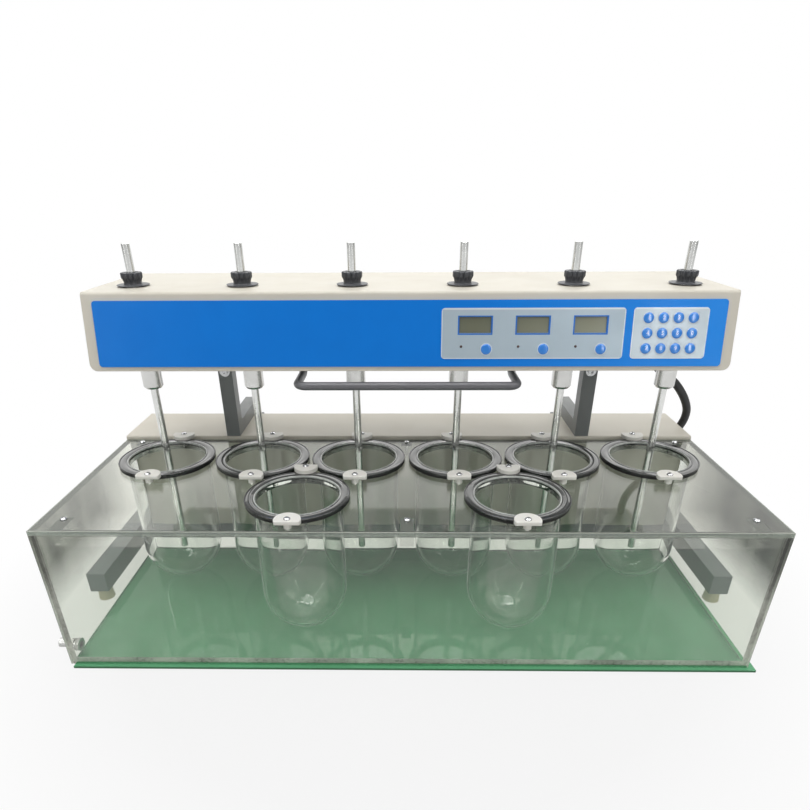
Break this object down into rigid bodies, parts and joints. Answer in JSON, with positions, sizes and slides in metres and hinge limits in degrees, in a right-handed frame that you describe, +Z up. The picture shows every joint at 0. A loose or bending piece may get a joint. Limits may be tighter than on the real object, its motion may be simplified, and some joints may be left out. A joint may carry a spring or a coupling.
{
  "type": "dissolution tester",
  "caption": "Bench dissolution tester: clear water bath with round-bottomed glass vessels under a tilting belt-driven stirring head with a blue control panel",
  "frame": {"origin": "on the bench, under the middle of the row of stirring shafts, on the underside of the mat", "axes": "+X right along the row of shafts seen from the front, +Y from the front to the back, +Z up"},
  "size_m": [0.924, 0.432, 0.479],
  "materials": {
    "mat": "matt green sheet",
    "acrylic": "clear polished acrylic",
    "screw_steel": "bright stainless",
    "drain_metal": "plain turned steel",
    "vessel_glass": "clear polished glass",
    "seal_rubber": "black rubber",
    "clip_plastic": "white turned plastic",
    "cream_paint": "cream fine-textured paint",
    "grey_paint": "grey paint",
    "foot_rubber": "cream rubber",
    "arm_paint": "dark grey paint",
    "plate_metal": "milled",
    "panel_blue": "glossy blue sheet",
    "membrane_grey": "satin grey film",
    "lcd_grey": "unlit display glass",
    "handle_grey": "grey paint",
    "motor_grey": "satin grey",
    "steel": "ground stainless",
    "knob_black": "black moulded",
    "belt_rubber": "black rubber",
    "conduit_black": "black sheath"
  },
  "bodies": {
    "base": {"tank_mat": "mat", "tank_body": "acrylic", "tank_lid": "acrylic", "tank_screws": "screw_steel", "drain_fitting": "drain_metal", "vessels": "vessel_glass", "vessel_seals": "seal_rubber", "housing": "cream_paint", "back_panel": "cream_paint", "base_frame": "grey_paint", "frame_feet": "foot_rubber", "hinge_brackets": "arm_paint"},
    "head": {"left_arm": "arm_paint", "right_arm": "arm_paint", "arm_screws": "screw_steel", "head_cover": "cream_paint", "head_plate": "plate_metal", "front_panel": "panel_blue", "display_panel": "membrane_grey", "keypad_panel": "membrane_grey", "lcd_screens": "lcd_grey", "handle": "handle_grey", "motor": "motor_grey", "drive_belt": "belt_rubber", "conduit": "conduit_black"},
    "clip_1_front": {"clip_1_front": "clip_plastic"},
    "clip_1_rear": {"clip_1_rear": "clip_plastic"},
    "clip_2_front": {"clip_2_front": "clip_plastic"},
    "clip_2_rear": {"clip_2_rear": "clip_plastic"},
    "clip_3_front": {"clip_3_front": "clip_plastic"},
    "clip_3_rear": {"clip_3_rear": "clip_plastic"},
    "clip_4_front": {"clip_4_front": "clip_plastic"},
    "clip_4_rear": {"clip_4_rear": "clip_plastic"},
    "clip_5_front": {"clip_5_front": "clip_plastic"},
    "clip_5_rear": {"clip_5_rear": "clip_plastic"},
    "clip_6_front": {"clip_6_front": "clip_plastic"},
    "clip_6_rear": {"clip_6_rear": "clip_plastic"},
    "clip_7_front": {"clip_7_front": "clip_plastic"},
    "clip_7_rear": {"clip_7_rear": "clip_plastic"},
    "clip_8_front": {"clip_8_front": "clip_plastic"},
    "clip_8_rear": {"clip_8_rear": "clip_plastic"},
    "spindle_1": {"spindle_1": "steel"},
    "knob_1": {"knob_1": "knob_black"},
    "shaft_1": {"shaft_1": "steel"},
    "spindle_2": {"spindle_2": "steel"},
    "knob_2": {"knob_2": "knob_black"},
    "shaft_2": {"shaft_2": "steel"},
    "spindle_3": {"spindle_3": "steel"},
    "knob_3": {"knob_3": "knob_black"},
    "shaft_3": {"shaft_3": "steel"},
    "spindle_4": {"spindle_4": "steel"},
    "knob_4": {"knob_4": "knob_black"},
    "shaft_4": {"shaft_4": "steel"},
    "spindle_5": {"spindle_5": "steel"},
    "knob_5": {"knob_5": "knob_black"},
    "shaft_5": {"shaft_5": "steel"},
    "spindle_6": {"spindle_6": "steel"},
    "knob_6": {"knob_6": "knob_black"},
    "shaft_6": {"shaft_6": "steel"},
    "motor_pulley": {"motor_pulley": "plate_metal"}
  },
  "joints": [
    {"name": "head_tilt", "type": "hinge", "parent": "base", "child": "head", "pos_m": [0, 0.196, 0.183], "axis": [-1, 0, 0], "range_deg": [0, 75], "deforming": ["conduit"]},
    {"name": "clip_1_front_turn", "type": "hinge", "parent": "base", "child": "clip_1_front", "pos_m": [-0.335, -0.071, 0.204], "axis": [0, 0, 1], "range_deg": [0, 180]},
    {"name": "clip_1_rear_turn", "type": "hinge", "parent": "base", "child": "clip_1_rear", "pos_m": [-0.335, 0.071, 0.204], "axis": [0, 0, 1], "range_deg": [0, 180]},
    {"name": "clip_2_front_turn", "type": "hinge", "parent": "base", "child": "clip_2_front", "pos_m": [-0.201, -0.071, 0.204], "axis": [0, 0, 1], "range_deg": [0, 180]},
    {"name": "clip_2_rear_turn", "type": "hinge", "parent": "base", "child": "clip_2_rear", "pos_m": [-0.201, 0.071, 0.204], "axis": [0, 0, 1], "range_deg": [0, 180]},
    {"name": "clip_3_front_turn", "type": "hinge", "parent": "base", "child": "clip_3_front", "pos_m": [-0.067, -0.071, 0.204], "axis": [0, 0, 1], "range_deg": [0, 180]},
    {"name": "clip_3_rear_turn", "type": "hinge", "parent": "base", "child": "clip_3_rear", "pos_m": [-0.067, 0.071, 0.204], "axis": [0, 0, 1], "range_deg": [0, 180]},
    {"name": "clip_4_front_turn", "type": "hinge", "parent": "base", "child": "clip_4_front", "pos_m": [0.067, -0.071, 0.204], "axis": [0, 0, 1], "range_deg": [0, 180]},
    {"name": "clip_4_rear_turn", "type": "hinge", "parent": "base", "child": "clip_4_rear", "pos_m": [0.067, 0.071, 0.204], "axis": [0, 0, 1], "range_deg": [0, 180]},
    {"name": "clip_5_front_turn", "type": "hinge", "parent": "base", "child": "clip_5_front", "pos_m": [0.201, -0.071, 0.204], "axis": [0, 0, 1], "range_deg": [0, 180]},
    {"name": "clip_5_rear_turn", "type": "hinge", "parent": "base", "child": "clip_5_rear", "pos_m": [0.201, 0.071, 0.204], "axis": [0, 0, 1], "range_deg": [0, 180]},
    {"name": "clip_6_front_turn", "type": "hinge", "parent": "base", "child": "clip_6_front", "pos_m": [0.335, -0.071, 0.204], "axis": [0, 0, 1], "range_deg": [0, 180]},
    {"name": "clip_6_rear_turn", "type": "hinge", "parent": "base", "child": "clip_6_rear", "pos_m": [0.335, 0.071, 0.204], "axis": [0, 0, 1], "range_deg": [0, 180]},
    {"name": "clip_7_front_turn", "type": "hinge", "parent": "base", "child": "clip_7_front", "pos_m": [-0.134, -0.18705, 0.204], "axis": [0, 0, 1], "range_deg": [0, 180]},
    {"name": "clip_7_rear_turn", "type": "hinge", "parent": "base", "child": "clip_7_rear", "pos_m": [-0.134, -0.04505, 0.204], "axis": [0, 0, 1], "range_deg": [0, 180]},
    {"name": "clip_8_front_turn", "type": "hinge", "parent": "base", "child": "clip_8_front", "pos_m": [0.134, -0.18705, 0.204], "axis": [0, 0, 1], "range_deg": [0, 180]},
    {"name": "clip_8_rear_turn", "type": "hinge", "parent": "base", "child": "clip_8_rear", "pos_m": [0.134, -0.04505, 0.204], "axis": [0, 0, 1], "range_deg": [0, 180]},
    {"name": "spindle_1_turn", "type": "hinge", "parent": "head", "child": "spindle_1", "pos_m": [-0.335, 0, 0.4115], "axis": [0, 0, 1], "continuous": true},
    {"name": "knob_1_turn", "type": "hinge", "parent": "spindle_1", "child": "knob_1", "pos_m": [-0.335, 0, 0.4314], "axis": [0, 0, 1], "range_deg": [0, 180]},
    {"name": "shaft_1_slide", "type": "slide", "parent": "spindle_1", "child": "shaft_1", "axis": [0, 0, 1], "range_m": [-0.025, 0.12]},
    {"name": "spindle_2_turn", "type": "hinge", "parent": "head", "child": "spindle_2", "pos_m": [-0.201, 0, 0.4115], "axis": [0, 0, 1], "continuous": true},
    {"name": "knob_2_turn", "type": "hinge", "parent": "spindle_2", "child": "knob_2", "pos_m": [-0.201, 0, 0.4314], "axis": [0, 0, 1], "range_deg": [0, 180]},
    {"name": "shaft_2_slide", "type": "slide", "parent": "spindle_2", "child": "shaft_2", "axis": [0, 0, 1], "range_m": [-0.025, 0.12]},
    {"name": "spindle_3_turn", "type": "hinge", "parent": "head", "child": "spindle_3", "pos_m": [-0.067, 0, 0.4115], "axis": [0, 0, 1], "continuous": true},
    {"name": "knob_3_turn", "type": "hinge", "parent": "spindle_3", "child": "knob_3", "pos_m": [-0.067, 0, 0.4314], "axis": [0, 0, 1], "range_deg": [0, 180]},
    {"name": "shaft_3_slide", "type": "slide", "parent": "spindle_3", "child": "shaft_3", "axis": [0, 0, 1], "range_m": [-0.025, 0.12]},
    {"name": "spindle_4_turn", "type": "hinge", "parent": "head", "child": "spindle_4", "pos_m": [0.067, 0, 0.4115], "axis": [0, 0, 1], "continuous": true},
    {"name": "knob_4_turn", "type": "hinge", "parent": "spindle_4", "child": "knob_4", "pos_m": [0.067, 0, 0.4314], "axis": [0, 0, 1], "range_deg": [0, 180]},
    {"name": "shaft_4_slide", "type": "slide", "parent": "spindle_4", "child": "shaft_4", "axis": [0, 0, 1], "range_m": [-0.025, 0.12]},
    {"name": "spindle_5_turn", "type": "hinge", "parent": "head", "child": "spindle_5", "pos_m": [0.201, 0, 0.4115], "axis": [0, 0, 1], "continuous": true},
    {"name": "knob_5_turn", "type": "hinge", "parent": "spindle_5", "child": "knob_5", "pos_m": [0.201, 0, 0.4314], "axis": [0, 0, 1], "range_deg": [0, 180]},
    {"name": "shaft_5_slide", "type": "slide", "parent": "spindle_5", "child": "shaft_5", "axis": [0, 0, 1], "range_m": [-0.025, 0.12]},
    {"name": "spindle_6_turn", "type": "hinge", "parent": "head", "child": "spindle_6", "pos_m": [0.335, 0, 0.4115], "axis": [0, 0, 1], "continuous": true},
    {"name": "knob_6_turn", "type": "hinge", "parent": "spindle_6", "child": "knob_6", "pos_m": [0.335, 0, 0.4314], "axis": [0, 0, 1], "range_deg": [0, 180]},
    {"name": "shaft_6_slide", "type": "slide", "parent": "spindle_6", "child": "shaft_6", "axis": [0, 0, 1], "range_m": [-0.025, 0.12]},
    {"name": "motor_turn", "type": "hinge", "parent": "head", "child": "motor_pulley", "pos_m": [0, 0, 0.4115], "axis": [0, 0, 1], "continuous": true}
  ],
  "couplings": [
    {"joint": "spindle_1_turn", "follows": "spindle_3_turn", "ratio": 1},
    {"joint": "spindle_2_turn", "follows": "spindle_3_turn", "ratio": 1},
    {"joint": "spindle_4_turn", "follows": "spindle_3_turn", "ratio": 1},
    {"joint": "spindle_5_turn", "follows": "spindle_3_turn", "ratio": 1},
    {"joint": "spindle_6_turn", "follows": "spindle_3_turn", "ratio": 1},
    {"joint": "motor_turn", "follows": "spindle_3_turn", "ratio": 1}
  ]
}
